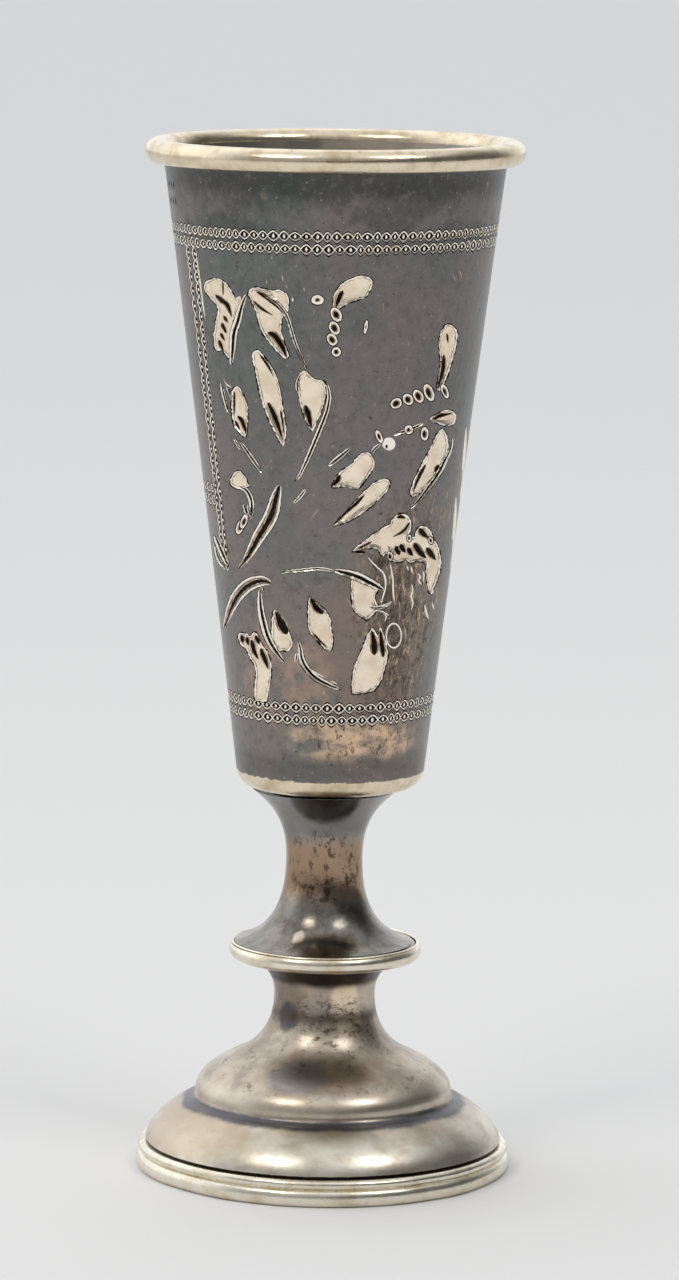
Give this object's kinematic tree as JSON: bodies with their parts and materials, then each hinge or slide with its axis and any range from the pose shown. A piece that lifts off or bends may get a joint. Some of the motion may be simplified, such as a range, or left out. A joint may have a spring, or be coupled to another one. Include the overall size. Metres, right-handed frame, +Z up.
{
  "type": "kiddush cup",
  "caption": "Small footed kiddush cup of silver: tapered beaker with a rolled rim and engraved leaves, on a turned stem with a collar and a stepped foot.",
  "frame": {"origin": "on the ground, under the middle of the foot", "axes": "+Z up along the cup, -Y towards the front of the engraving"},
  "size_m": [0.038, 0.038, 0.1048],
  "materials": {
    "oxidised_silver": "silver with a dark blue-grey patina, engraving and edges bright",
    "worn_silver": "worn silver with a warm grey-brown patina",
    "pale_silver": "bright pale silver with fine handling marks"
  },
  "bodies": {
    "root": {"bowl": "oxidised_silver", "stem": "worn_silver", "knop_ring": "pale_silver", "foot": "worn_silver", "foot_rim": "pale_silver"}
  },
  "joints": []
}
